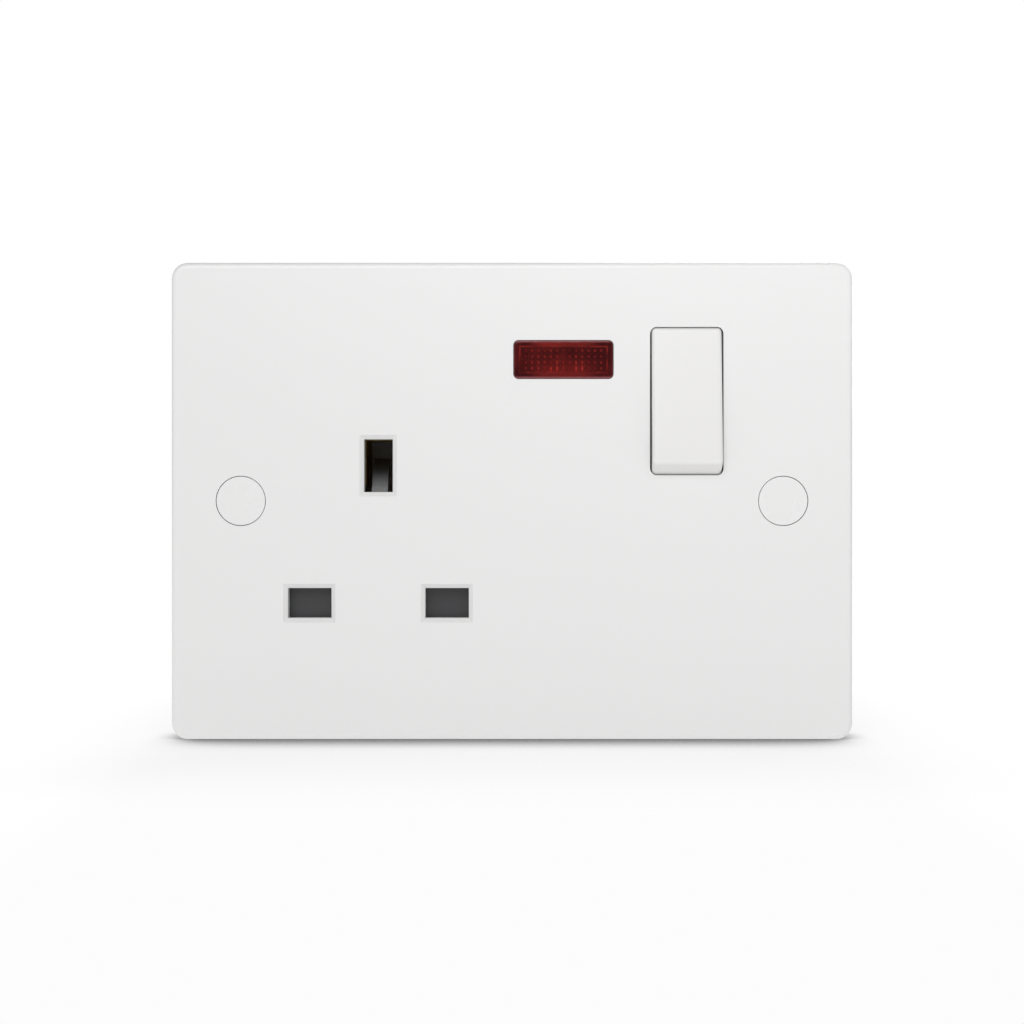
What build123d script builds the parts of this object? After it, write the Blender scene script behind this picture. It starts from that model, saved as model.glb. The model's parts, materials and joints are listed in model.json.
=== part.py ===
from build123d import *
import os
from math import copysign, cos, radians, sin

os.makedirs("parts", exist_ok=True)

# Single switched wall socket for three flat pins, with a neon lamp, seen from the front:
# +X is right, +Z is up and +Y goes into the wall. The origin is the middle of the plate's rear rim.
# "Out" is a distance out of the wall, so it is negative behind the plate.
# Sizes are in millimetres and angles in degrees.

# Front plate
plate_width = 110.0
plate_height = 77.0
plate_depth = 9.0
plate_corner = 2.6
plate_edge = 0.9
face_wall = 3.0
rim_wall = 2.2
rim_inner_corner = 1.2
face_back = plate_depth - face_wall

# Slots and the pins that they take
pin_pitch = 22.2
socket_x = -21.6
earth_z = 5.7
lower_pin_z = earth_z - pin_pitch
neutral_x = socket_x - pin_pitch / 2
line_x = socket_x + pin_pitch / 2
lower_slot_width = 7.05
lower_slot_height = 4.85
earth_slot_width = 4.65
earth_slot_height = 8.55
slot_lead_in = 0.7

# Fixing screws, their caps and washers
fixing_spacing = 87.5
fixing_boss_radius = 5.4
fixing_boss_back = 1.5
rib_thickness = 1.2
rib_back = 3.0
rib_pitch = 18.0
fixing_hole_radius = 1.95
cap_recess_radius = 4.05
cap_clearance = 0.1
cap_thickness = 1.0
cap_edge = 0.15
cap_skirt_wall = 0.4
cap_skirt_length = 1.0
cap_recess_depth = 2.15
screw_head_radius = 3.4
screw_head_dome = 0.35
screw_thread_radius = 1.75
screw_shank_radius = 1.4
screw_length = 25.0
screw_point = 0.5
drive_slot_width = 0.9
drive_slot_depth = 0.8
washer_radius = 3.5
washer_thickness = 0.8
washer_bore_gap = 0.1
washer_slack = 0.2
recess_floor = plate_depth - cap_recess_depth
fixing_points = [(-fixing_spacing / 2, 0), (fixing_spacing / 2, 0)]

# Rocker and its window
rocker_x = 28.2
rocker_z = 16.1
pivot_out = 3.0
rocker_width = 11.3
rocker_lean = 6.0
drum_radius = 13.1
crown_round = 0.8
nose_round = 0.9
rocker_face_out = 7.3
rocker_edge = 0.7
rocker_wall = 1.2
skirt_out = 1.8
rocker_gap = 0.28
window_corner = 1.05
ear_radius = 2.6
trunnion_radius = 1.2
trunnion_gap = 0.07
trunnion_length = 1.7
cheek_gap = 0.3
cheek_thickness = 1.65
cheek_reach = 2.4
cheek_half_height = 4.0

# Plunger, its tube and spring
tube_radius = 2.5
plunger_radius = 1.5
plunger_gap = 0.1
plunger_reach = 8.6
plunger_back = 0.6
plunger_tip_round = 1.2
tube_mouth = 1.2
spigot_radius = 0.7
spigot_length = 1.4
rocker_spring_wire = 0.3
rocker_spring_turns = 5
contact_gap = 0.25

# Moving contact, which rocks on a ridge
bridge_lean = 7.0
bridge_thickness = 0.8
bridge_width = 5.2
bridge_corner = 1.2
bridge_upper = 10.3
bridge_lower = 7.0
bridge_rail_wall = 0.5
bridge_rail_height = 1.0
bridge_rail_half_length = 4.0
tip_offset = 8.5
tip_radius = 1.75
tip_height = 0.8
tip_edge = 0.3
closed_gap = 0.1
bridge_back_out = pivot_out - plunger_reach - contact_gap - bridge_thickness

# Rear moulding
base_left = -38.0
base_right = 38.0
base_bottom = -26.0
base_top = 31.2
base_corner = 2.5
base_wall = 1.8
base_front = 2.0
floor_front = -10.5
back_rib_x = 1.75
back_rib_pitch = 16.25
back_rib_thickness = 1.0
back_rib_height = 1.2
back_rib_inset = 4.0
floor_thickness = 2.0
floor_back = floor_front - floor_thickness
base_edge = 0.6
tower_front = 3.6
lower_pocket_width = 7.2
lower_pocket_height = 7.8
tower_wall = 1.2
earth_pocket_width = 7.8
earth_pocket_height = 9.9
earth_pocket_back = -14.5
partition_wall = 1.2
chamber_gap = 1.0
notch_gap = 0.1
ramp_way_gap = 0.5

# Shutter and its spring
shutter_front = 5.7
shutter_thickness = 1.8
shutter_overlap = 0.8
shutter_cover_top = 2.9
shutter_height = 6.0
shutter_travel = 5.4
shutter_arm_width = 5.0
shutter_arm_lap = 1.5
shutter_arm_gap = 1.0
shutter_corner = 0.6
shutter_rib_start = 1.0
ramp_tail_length = 1.6
ramp_heel = 1.8
ramp_width = 2.6
ramp_foot_z = 1.3
ramp_head_z = 7.1
ramp_head_out = 0.4
ramp_tail_out = -0.6
rail_gap = 0.2
rail_thickness = 1.0
rail_end_gap = 0.1
shutter_spring_radius = 1.15
shutter_spring_wire = 0.35
shutter_spring_turns = 6
shutter_spring_length = 9.0
peg_radius = 0.7
peg_length = 1.5
seat_thickness = 1.6
seat_width = 4.4
spring_seat_gap = 0.05

# Brass receptacles
strap_thickness = 0.7
strap_width = 4.0
leaf_thickness = 0.5
leaf_back_half = 3.2
leaf_grip_half = 2.1
leaf_mouth_half = 2.7
leaf_grip_out = -2.0
leaf_belly_out = -7.0
leaf_mouth_out = 1.2
leaf_bend = 0.6
lower_leaf_width = 6.2
earth_leaf_height = 7.6
earth_leaf_back_out = -9.4
web_thickness = 0.7
web_width = 6.0
web_z = 10.1

# Rivets and terminals
rivet_radius = 1.5
rivet_gap = 0.05
rivet_head_radius = 2.2
rivet_head_height = 0.5
terminal_width = 7.0
terminal_length = 9.0
terminal_depth = 8.5
terminal_edge = 0.5
terminal_bore_radius = 1.9
terminal_bore_drop = 3.0
clamp_radius = 1.7
clamp_gap = 0.05
clamp_head_radius = 2.8
clamp_head_height = 1.7
clamp_head_edge = 0.4
clamp_backed_out = 0.2
clamp_head_gap = 0.3
well_gap = 0.2
well_wall = 1.3
well_depth = 8.0
well_reach = 0.8
earth_terminal_z = 18.5
supply_z = -16.5

# Neon lamp behind its lens
lens_x = 8.3
lens_z = 22.8
lens_width = 16.2
lens_height = 6.3
lens_corner = 0.85
lens_gap = 0.06
lens_proud = 0.1
lens_edge = 0.25
lens_flange = 1.0
lens_flange_thickness = 1.0
lens_skin = 1.1
lens_recess_width = 14.2
lens_recess_height = 4.1
lens_recess_corner = 0.3
prism_columns = 13
prism_rows = 4
prism_base = 0.6
prism_height = 0.45
prism_angle = 38
light_box_gap = 0.2
light_box_wall = 1.2
light_box_back = 2.5
lamp_radius = 2.3
lamp_length = 11.0
lamp_out = 1.2
lamp_round = 2.0
saddle_thickness = 1.4
saddle_half_height = 2.8
saddle_gap = 0.05
saddle_spacing = 6.6
lead_radius = 0.5
long_lead_radius = 0.8
lead_bend = 1.6
long_lead_bend = 3.6
lead_pitch = 1.6
lead_drop = 8.0
lead_depth = 5.0
resistor_x = -5.0
resistor_top = 18.5
resistor_bottom = 12.0
resistor_radius = 1.2
resistor_round = 0.5
clip_wall = 1.0

# Screws from the back that hold the two mouldings together
assembly_points = [(-33.0, 24.0), (6.0, -19.5), (10.5, 9.0), (34.2, -6.0)]
pillar_radius = 3.4
collar_height = 0.8
assembly_boss_radius = 3.0
assembly_screw_radius = 1.4
assembly_screw_gap = 0.05
assembly_head_radius = 2.6
assembly_head_height = 1.6
assembly_head_depth = 2.4
assembly_screw_end = 5.2
cross_slot_length = 3.2
cross_slot_width = 0.8
cross_slot_depth = 0.9


def facing(out):
    """Plane parallel to the wall, a distance out of it, looked at from the front."""
    return Plane.XZ.offset(out)


def side_on(x):
    """Plane across the width. Its own X is up and its own Y is out of the wall."""
    return Plane(origin=(x, 0, 0), x_dir=(0, 0, 1), z_dir=(1, 0, 0))


def block(x, z, width, height, back, front, mode=Mode.ADD):
    """Straight block between two distances out of the wall."""
    with BuildSketch(facing(back)) as outline:
        with Locations((x, z)):
            Rectangle(width, height)
    extrude(outline.sketch, amount=front - back, dir=(0, -1, 0), mode=mode)


def span(left, right, bottom, top, back, front, mode=Mode.ADD):
    """The same block, from its sides."""
    block((left + right) / 2, (bottom + top) / 2, right - left, top - bottom, back, front, mode)


def post(points, radius, back, front, mode=Mode.ADD):
    """Round posts or holes between two distances out of the wall."""
    with BuildSketch(facing(back)) as outline:
        with Locations(*points):
            Circle(radius)
    extrude(outline.sketch, amount=front - back, dir=(0, -1, 0), mode=mode)


def frame_walls(x, z, width, height, wall, back, front):
    """Rectangular wall around an inner opening."""
    with BuildSketch(facing(back)) as outline:
        with Locations((x, z)):
            Rectangle(width + 2 * wall, height + 2 * wall)
            Rectangle(width, height, mode=Mode.SUBTRACT)
    extrude(outline.sketch, amount=front - back, dir=(0, -1, 0))


# Rocker window: a drum about the rocker's pivot, so that the gap stays even as it rocks
with BuildPart() as rocker_window:
    with BuildSketch(side_on(rocker_x)):
        with Locations((rocker_z, pivot_out)):
            Circle(drum_radius + rocker_gap)
    extrude(amount=rocker_width / 2 + rocker_gap, both=True)
    fillet(rocker_window.edges().filter_by(GeomType.CIRCLE), radius=window_corner)

# Front plate
lower_slots = [(neutral_x, lower_pin_z), (line_x, lower_pin_z)]
rail_bottom = lower_pin_z + shutter_cover_top - shutter_height - shutter_travel - 2 * rail_gap
rail_top = lower_pin_z + shutter_cover_top
shutter_left = neutral_x - lower_slot_width / 2 - shutter_overlap
shutter_right = line_x + lower_slot_width / 2 + shutter_overlap
seat_top = rail_top - shutter_height - shutter_spring_length
light_box_width = lens_width + 2 * lens_flange + 2 * light_box_gap
light_box_height = lens_height + 2 * lens_flange + 2 * light_box_gap
cheek_inner = rocker_width / 2 + cheek_gap

with BuildPart() as front_plate:
    with BuildSketch(facing(0)):
        RectangleRounded(plate_width, plate_height, plate_corner)
    extrude(amount=plate_depth)
    fillet(front_plate.faces().sort_by(Axis.Y)[0].edges(), radius=plate_edge)
    with BuildSketch(facing(0)):
        RectangleRounded(plate_width - 2 * rim_wall, plate_height - 2 * rim_wall, rim_inner_corner)
    extrude(amount=face_back, mode=Mode.SUBTRACT)

    # Slots with a sloped lead-in
    with BuildSketch(facing(0)):
        with Locations(*lower_slots):
            Rectangle(lower_slot_width, lower_slot_height)
        with Locations((socket_x, earth_z)):
            Rectangle(earth_slot_width, earth_slot_height)
    extrude(amount=plate_depth, mode=Mode.SUBTRACT)
    slot_rims = front_plate.faces().sort_by(Axis.Y)[0].inner_wires().edges()
    chamfer(slot_rims, length=slot_lead_in)

    # Fixing bosses with their ribs, cap recesses and countersinks
    post(fixing_points, fixing_boss_radius, fixing_boss_back, face_back)
    for fixing_x, fixing_z in fixing_points:
        block(fixing_x, fixing_z, rib_thickness, plate_height - 2 * rim_wall, rib_back, face_back)
        rib_end = copysign(plate_width / 2 - rim_wall, fixing_x)
        for rib_z in (fixing_z - rib_pitch, fixing_z, fixing_z + rib_pitch):
            block(
                (fixing_x + rib_end) / 2, rib_z, abs(rib_end - fixing_x), rib_thickness, rib_back, face_back
            )
    post(fixing_points, fixing_hole_radius, fixing_boss_back, plate_depth, Mode.SUBTRACT)
    post(fixing_points, cap_recess_radius, recess_floor, plate_depth, Mode.SUBTRACT)
    countersinks = (
        front_plate.edges()
        .filter_by(GeomType.CIRCLE)
        .filter_by(lambda edge: abs(edge.radius - fixing_hole_radius) < 0.01)
        .sort_by(Axis.Y)[0:2]
    )
    chamfer(countersinks, length=screw_head_radius + cap_clearance - fixing_hole_radius)

    # Lens window with its light box, and the rocker window
    with BuildSketch(facing(0)):
        with Locations((lens_x, lens_z)):
            RectangleRounded(lens_width, lens_height, lens_corner)
    extrude(amount=plate_depth, mode=Mode.SUBTRACT)
    frame_walls(
        lens_x, lens_z, light_box_width, light_box_height, light_box_wall, light_box_back, face_back
    )
    add(rocker_window.part, mode=Mode.SUBTRACT)

    # Hinge cheeks with snap-in bearings
    for cheek_side in (-1, 1):
        block(
            rocker_x + cheek_side * (cheek_inner + cheek_thickness / 2),
            rocker_z,
            cheek_thickness,
            2 * cheek_half_height,
            pivot_out - cheek_reach,
            face_back,
        )
    with BuildSketch(side_on(rocker_x)):
        with Locations((rocker_z, pivot_out)):
            Circle(trunnion_radius + trunnion_gap)
        with Locations((rocker_z, pivot_out - cheek_reach)):
            Rectangle(2 * cheek_reach, 1.7 * trunnion_radius)
    extrude(amount=cheek_inner + cheek_thickness, both=True, mode=Mode.SUBTRACT)

    # Shutter rails, spring seat and assembly bosses
    for rail_left in (shutter_left - rail_gap - rail_thickness, shutter_right + rail_gap):
        span(
            rail_left,
            rail_left + rail_thickness,
            rail_bottom,
            rail_top,
            tower_front + rail_end_gap,
            face_back,
        )
    block(
        socket_x,
        seat_top - seat_thickness / 2,
        seat_width,
        seat_thickness,
        shutter_front - shutter_thickness / 2 - 2 * shutter_spring_radius,
        face_back,
    )
    with BuildSketch(Plane.XY.offset(seat_top)):
        with Locations((socket_x, -(shutter_front - shutter_thickness / 2))):
            Circle(peg_radius)
    extrude(amount=peg_length)
    post(assembly_points, assembly_boss_radius, base_front, face_back)
    post(
        assembly_points,
        assembly_screw_radius + assembly_screw_gap,
        base_front,
        assembly_screw_end + assembly_screw_gap,
        Mode.SUBTRACT,
    )
front_plate.part.label = "front_plate"
export_step(front_plate.part, "parts/front_plate.step")

# Screw caps
cap_radius = cap_recess_radius - cap_clearance
with BuildPart() as screw_cap:
    with BuildSketch(facing(plate_depth - cap_thickness)):
        Circle(cap_radius)
    extrude(amount=cap_thickness)
    fillet(screw_cap.faces().sort_by(Axis.Y)[0].edges(), radius=cap_edge)
    with BuildSketch(facing(plate_depth - cap_thickness)):
        Circle(cap_radius)
        Circle(cap_radius - cap_skirt_wall, mode=Mode.SUBTRACT)
    extrude(amount=-cap_skirt_length)

# Fixing screws: head under the cap, plain shank in the boss, thread behind the plate
head_top = recess_floor
head_depth = screw_head_radius - screw_shank_radius
thread_start = fixing_boss_back - washer_thickness - washer_slack
with BuildPart() as fixing_screw:
    with BuildSketch(side_on(0)):
        with BuildLine():
            Polyline(
                (0, head_top - screw_length),
                (screw_thread_radius - screw_point, head_top - screw_length),
                (screw_thread_radius, head_top - screw_length + screw_point),
                (screw_thread_radius, thread_start),
                (screw_shank_radius, thread_start + screw_thread_radius - screw_shank_radius),
                (screw_shank_radius, head_top - head_depth),
                (screw_head_radius, head_top),
            )
            ThreePointArc(
                (screw_head_radius, head_top),
                (screw_head_radius / 2, head_top + 0.75 * screw_head_dome),
                (0, head_top + screw_head_dome),
            )
            Line((0, head_top + screw_head_dome), (0, head_top - screw_length))
        make_face()
    revolve(axis=Axis.Y)
    block(
        0,
        0,
        2 * screw_head_radius,
        drive_slot_width,
        head_top + screw_head_dome - drive_slot_depth,
        head_top + screw_head_dome,
        Mode.SUBTRACT,
    )

# Washers that keep the screws in the plate
with BuildPart() as retaining_washer:
    with BuildSketch(facing(fixing_boss_back)):
        Circle(washer_radius)
        Circle(screw_shank_radius + washer_bore_gap, mode=Mode.SUBTRACT)
    extrude(amount=-washer_thickness)

for side, (fixing_x, fixing_z) in zip(("left", "right"), fixing_points):
    for piece_name, pattern_piece in (
        ("screw_cap", screw_cap),
        ("fixing_screw", fixing_screw),
        ("retaining_washer", retaining_washer),
    ):
        with BuildPart() as fixing_piece:
            with Locations((fixing_x, 0, fixing_z)):
                add(pattern_piece.part)
        fixing_piece.part.label = side + "_" + piece_name
        export_step(fixing_piece.part, "parts/" + fixing_piece.part.label + ".step")

# Rocker, shown with its top pressed in. Its own plane has X up along its face and Y out of it
rocker_plane = Plane(
    origin=(rocker_x, -pivot_out, rocker_z),
    x_dir=(0, sin(radians(rocker_lean)), cos(radians(rocker_lean))),
    z_dir=(1, 0, 0),
)
rocker_axis = Plane(
    origin=(rocker_x, -pivot_out, rocker_z),
    x_dir=(1, 0, 0),
    z_dir=(0, -cos(radians(rocker_lean)), sin(radians(rocker_lean))),
)
ear_top = skirt_out + rocker_wall
beyond = drum_radius + 1
with BuildPart() as rocker:
    with BuildSketch(rocker_plane) as rocker_profile:
        with BuildLine():
            Polyline(
                (-beyond, skirt_out),
                (beyond, skirt_out),
                (beyond, rocker_face_out),
                (-beyond, rocker_face_out),
                close=True,
            )
        make_face()
        Circle(drum_radius, mode=Mode.INTERSECT)
        fillet(rocker_profile.vertices().sort_by(Axis.X)[2], radius=crown_round)
        fillet(rocker_profile.vertices().sort_by(Axis.X)[1], radius=nose_round)
    extrude(amount=rocker_width / 2, both=True)
    rocker_sides = rocker.faces().filter_by(Axis.X)
    rocker_rims = rocker_sides.edges() - rocker.faces().sort_by(Axis.Y)[-1].edges()
    fillet(rocker_rims, radius=rocker_edge)
    with BuildSketch(rocker_plane):
        with BuildLine():
            Polyline(
                (-beyond, -beyond),
                (beyond, -beyond),
                (beyond, rocker_face_out - rocker_wall),
                (-beyond, rocker_face_out - rocker_wall),
                close=True,
            )
        make_face()
        Circle(drum_radius - rocker_wall, mode=Mode.INTERSECT)
    extrude(amount=rocker_width / 2 - rocker_wall, both=True, mode=Mode.SUBTRACT)

    # Ears and trunnions
    for ear_start in (-rocker_width / 2, rocker_width / 2 - rocker_wall):
        with BuildSketch(rocker_plane.offset(ear_start)):
            Circle(ear_radius)
            with Locations((0, ear_top / 2)):
                Rectangle(2 * ear_radius, ear_top)
        extrude(amount=rocker_wall)
    for trunnion_start, trunnion_way in ((-rocker_width / 2, -1), (rocker_width / 2, 1)):
        with BuildSketch(rocker_plane.offset(trunnion_start)):
            Circle(trunnion_radius)
        extrude(amount=trunnion_way * trunnion_length)

    # Plunger tube with two ribs
    with BuildSketch(rocker_axis.offset(tube_mouth)):
        Circle(tube_radius)
        Rectangle(rocker_width - rocker_wall, 1)
        Circle(plunger_radius + plunger_gap, mode=Mode.SUBTRACT)
    extrude(amount=rocker_face_out - rocker_wall - tube_mouth)
rocker.part.label = "rocker"
export_step(rocker.part, "parts/rocker.step")

# Plunger
with BuildPart() as rocker_plunger:
    with BuildSketch(rocker_axis.offset(-plunger_reach)):
        Circle(plunger_radius)
    extrude(amount=plunger_reach + plunger_back + tube_mouth)
    fillet(rocker_plunger.edges().sort_by(Axis.Y)[-1], radius=plunger_tip_round)
    with BuildSketch(rocker_axis.offset(plunger_back + tube_mouth)):
        Circle(spigot_radius)
    extrude(amount=spigot_length)
rocker_plunger.part.label = "rocker_plunger"
export_step(rocker_plunger.part, "parts/rocker_plunger.step")

# Plunger spring
rocker_spring_length = rocker_face_out - rocker_wall - plunger_back - tube_mouth
rocker_coil_radius = plunger_radius - rocker_spring_wire
rocker_coil_height = rocker_spring_length - rocker_spring_wire - 2 * spring_seat_gap
rocker_coil_start = plunger_back + tube_mouth + rocker_spring_wire / 2 + spring_seat_gap
with BuildPart() as rocker_spring:
    with BuildLine() as rocker_coil:
        Helix(
            pitch=rocker_coil_height / rocker_spring_turns,
            height=rocker_coil_height,
            radius=rocker_coil_radius,
            center=rocker_axis.offset(rocker_coil_start).origin,
            direction=rocker_axis.z_dir,
        )
    with BuildSketch(Plane(origin=rocker_coil.line @ 0, z_dir=rocker_coil.line % 0)):
        Circle(rocker_spring_wire / 2)
    sweep(path=rocker_coil.line)
rocker_spring.part.label = "rocker_spring"
export_step(rocker_spring.part, "parts/rocker_spring.step")

# Moving contact, shown open: its upper end leans out
bridge_axis = Plane(
    origin=(rocker_x, -bridge_back_out, rocker_z),
    x_dir=(1, 0, 0),
    z_dir=(0, -cos(radians(bridge_lean)), -sin(radians(bridge_lean))),
)
with BuildPart() as moving_contact:
    with BuildSketch(bridge_axis):
        with Locations((0, (bridge_upper - bridge_lower) / 2)):
            RectangleRounded(bridge_width, bridge_upper + bridge_lower, bridge_corner)
    extrude(amount=bridge_thickness)
    with BuildSketch(bridge_axis.offset(bridge_thickness)):
        for rail_side in (-1, 1):
            with Locations((rail_side * (bridge_width - bridge_rail_wall) / 2, 0)):
                Rectangle(bridge_rail_wall, 2 * bridge_rail_half_length)
    extrude(amount=bridge_rail_height)
moving_contact.part.label = "moving_contact"
export_step(moving_contact.part, "parts/moving_contact.step")

with BuildPart() as moving_contact_tip:
    with BuildSketch(bridge_axis):
        with Locations((0, tip_offset)):
            Circle(tip_radius)
    extrude(amount=-tip_height)
    fillet(moving_contact_tip.faces().sort_by(Axis.Y)[-1].edges(), radius=tip_edge)
moving_contact_tip.part.label = "moving_contact_tip"
export_step(moving_contact_tip.part, "parts/moving_contact_tip.step")

# Fixed contact on the load strap
closed_tip_out = (
    bridge_back_out
    - tip_offset * sin(radians(bridge_lean))
    - tip_height * cos(radians(bridge_lean))
)
strap_front = floor_front + strap_thickness
fixed_tip_out = closed_tip_out - closed_gap - tip_radius * sin(radians(bridge_lean))
fixed_tip_z = rocker_z + tip_offset * cos(radians(bridge_lean))
with BuildPart() as fixed_contact:
    post([(rocker_x, fixed_tip_z)], tip_radius, strap_front, fixed_tip_out)
    fillet(fixed_contact.faces().sort_by(Axis.Y)[0].edges(), radius=tip_edge)
fixed_contact.part.label = "fixed_contact"
export_step(fixed_contact.part, "parts/fixed_contact.step")

# Straps that lie on the floor of the rear moulding
load_drop_x = -0.5
strap_overrun = 1.0
load_strap_left = line_x - rivet_head_radius - strap_overrun
with BuildPart() as load_strap:
    span(
        load_drop_x - strap_width / 2,
        rocker_x + strap_width / 2,
        fixed_tip_z - strap_width / 2,
        fixed_tip_z + strap_width / 2,
        floor_front,
        strap_front,
    )
    span(
        load_drop_x - strap_width / 2,
        load_drop_x + strap_width / 2,
        lower_pin_z - strap_width / 2,
        fixed_tip_z + strap_width / 2,
        floor_front,
        strap_front,
    )
    span(
        load_strap_left,
        load_drop_x + strap_width / 2,
        lower_pin_z - strap_width / 2,
        lower_pin_z + strap_width / 2,
        floor_front,
        strap_front,
    )
    post([(line_x, lower_pin_z)], rivet_radius + rivet_gap, floor_front, strap_front, Mode.SUBTRACT)
load_strap.part.label = "load_strap"
export_step(load_strap.part, "parts/load_strap.step")

neutral_tab_z = -6.0
with BuildPart() as neutral_strap:
    span(
        neutral_x - strap_width / 2,
        neutral_x + strap_width / 2,
        lower_pin_z - strap_width / 2 - strap_overrun,
        neutral_tab_z + strap_width / 2,
        floor_front,
        strap_front,
    )
    post([(neutral_x, lower_pin_z)], rivet_radius + rivet_gap, floor_front, strap_front, Mode.SUBTRACT)
neutral_strap.part.label = "neutral_strap"
export_step(neutral_strap.part, "parts/neutral_strap.step")

# Supply strap, folded up into the ridge that the moving contact rocks on
ridge_top = bridge_back_out - closed_gap
ridge_half = 0.9
ridge_foot_half = 1.3
ridge_bend = 0.7
ridge_foot_length = 4.5
strap_middle = floor_front + strap_thickness / 2
supply_end = supply_z - strap_width / 2 - strap_overrun
with BuildPart() as supply_strap:
    with BuildSketch(side_on(rocker_x)):
        with BuildLine():
            FilletPolyline(
                (rocker_z + ridge_foot_length, strap_middle),
                (rocker_z + ridge_foot_half, strap_middle),
                (rocker_z + ridge_half, ridge_top - strap_thickness / 2),
                (rocker_z - ridge_half, ridge_top - strap_thickness / 2),
                (rocker_z - ridge_foot_half, strap_middle),
                (supply_end, strap_middle),
                radius=ridge_bend,
            )
        trace(line_width=strap_thickness)
    extrude(amount=strap_width / 2, both=True)
    post([(rocker_x, supply_z)], rivet_radius + rivet_gap, floor_front, strap_front, Mode.SUBTRACT)
supply_strap.part.label = "supply_strap"
export_step(supply_strap.part, "parts/supply_strap.step")

# Line and neutral receptacles: one folded strip each, gripping the pin from above and below
leaf_back_out = strap_front + leaf_thickness / 2
for receptacle_name, receptacle_x in (("neutral_receptacle", neutral_x), ("line_receptacle", line_x)):
    with BuildPart() as receptacle:
        with BuildSketch(side_on(receptacle_x)):
            with BuildLine():
                FilletPolyline(
                    (lower_pin_z + leaf_mouth_half, leaf_mouth_out),
                    (lower_pin_z + leaf_grip_half, leaf_grip_out),
                    (lower_pin_z + leaf_back_half, leaf_belly_out),
                    (lower_pin_z + leaf_back_half, leaf_back_out),
                    (lower_pin_z - leaf_back_half, leaf_back_out),
                    (lower_pin_z - leaf_back_half, leaf_belly_out),
                    (lower_pin_z - leaf_grip_half, leaf_grip_out),
                    (lower_pin_z - leaf_mouth_half, leaf_mouth_out),
                    radius=leaf_bend,
                )
            trace(line_width=leaf_thickness)
        extrude(amount=lower_leaf_width / 2, both=True)
        post(
            [(receptacle_x, lower_pin_z)],
            rivet_radius + rivet_gap,
            strap_front,
            strap_front + leaf_thickness,
            Mode.SUBTRACT,
        )
    receptacle.part.label = receptacle_name
    export_step(receptacle.part, "parts/" + receptacle_name + ".step")

# Earth receptacle: two leaves hung from a web that runs back and out along the floor as a strap
web_centre_z = web_z + web_thickness / 2
earth_strap_end = earth_terminal_z + rivet_head_radius + strap_overrun
with BuildPart() as earth_receptacle:
    with BuildSketch(side_on(socket_x)):
        with BuildLine():
            FilletPolyline(
                (web_centre_z, leaf_mouth_out),
                (web_centre_z, strap_middle),
                (earth_strap_end, strap_middle),
                radius=leaf_bend,
            )
        trace(line_width=web_thickness)
    extrude(amount=web_width / 2, both=True)
    for leaf_side in (-1, 1):
        with BuildSketch(Plane(origin=(0, 0, web_z), x_dir=(1, 0, 0), z_dir=(0, 0, -1))):
            with BuildLine():
                FilletPolyline(
                    (socket_x + leaf_side * leaf_mouth_half, leaf_mouth_out),
                    (socket_x + leaf_side * leaf_grip_half, leaf_grip_out),
                    (socket_x + leaf_side * leaf_mouth_half, leaf_belly_out),
                    (socket_x + leaf_side * leaf_mouth_half, earth_leaf_back_out),
                    radius=leaf_bend,
                )
            trace(line_width=leaf_thickness)
        extrude(amount=earth_leaf_height)
    post(
        [(socket_x, earth_terminal_z)], rivet_radius + rivet_gap, floor_front, strap_front, Mode.SUBTRACT
    )
earth_receptacle.part.label = "earth_receptacle"
export_step(earth_receptacle.part, "parts/earth_receptacle.step")

# Terminals: drilled brass blocks behind the floor, each riveted through it
terminal_back = floor_back - terminal_depth
bore_out = floor_back - terminal_bore_drop
clamp_tip = bore_out - terminal_bore_radius - clamp_backed_out
clamp_head_front = terminal_back - clamp_head_gap
terminals = [
    ("line_terminal", rocker_x, supply_z, strap_front),
    ("neutral_terminal", neutral_x, lower_pin_z, strap_front + leaf_thickness),
    ("earth_terminal", socket_x, earth_terminal_z, strap_front),
]
for terminal_name, terminal_x, terminal_z, rivet_seat in terminals:
    with BuildPart() as terminal:
        block(terminal_x, terminal_z, terminal_width, terminal_length, terminal_back, floor_back)
        chamfer(terminal.edges().filter_by(Axis.Y), length=terminal_edge)
        post([(terminal_x, terminal_z)], rivet_radius, floor_back, rivet_seat)
        post([(terminal_x, terminal_z)], rivet_head_radius, rivet_seat, rivet_seat + rivet_head_height)
        with BuildSketch(Plane.XY.offset(terminal_z - terminal_length / 2)):
            with Locations((terminal_x, -bore_out)):
                Circle(terminal_bore_radius)
        extrude(amount=terminal_length, mode=Mode.SUBTRACT)
        post(
            [(terminal_x, terminal_z)], clamp_radius + clamp_gap, terminal_back, bore_out, Mode.SUBTRACT
        )
    terminal.part.label = terminal_name
    export_step(terminal.part, "parts/" + terminal_name + ".step")

    with BuildPart() as clamp_screw:
        post([(terminal_x, terminal_z)], clamp_radius, clamp_head_front, clamp_tip)
        post(
            [(terminal_x, terminal_z)],
            clamp_head_radius,
            clamp_head_front - clamp_head_height,
            clamp_head_front,
        )
        fillet(clamp_screw.faces().sort_by(Axis.Y)[-1].edges(), radius=clamp_head_edge)
        block(
            terminal_x,
            terminal_z,
            2 * clamp_head_radius,
            drive_slot_width,
            clamp_head_front - clamp_head_height,
            clamp_head_front - clamp_head_height + drive_slot_depth,
            Mode.SUBTRACT,
        )
    clamp_screw.part.label = terminal_name + "_screw"
    export_step(clamp_screw.part, "parts/" + terminal_name + "_screw.step")

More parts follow.
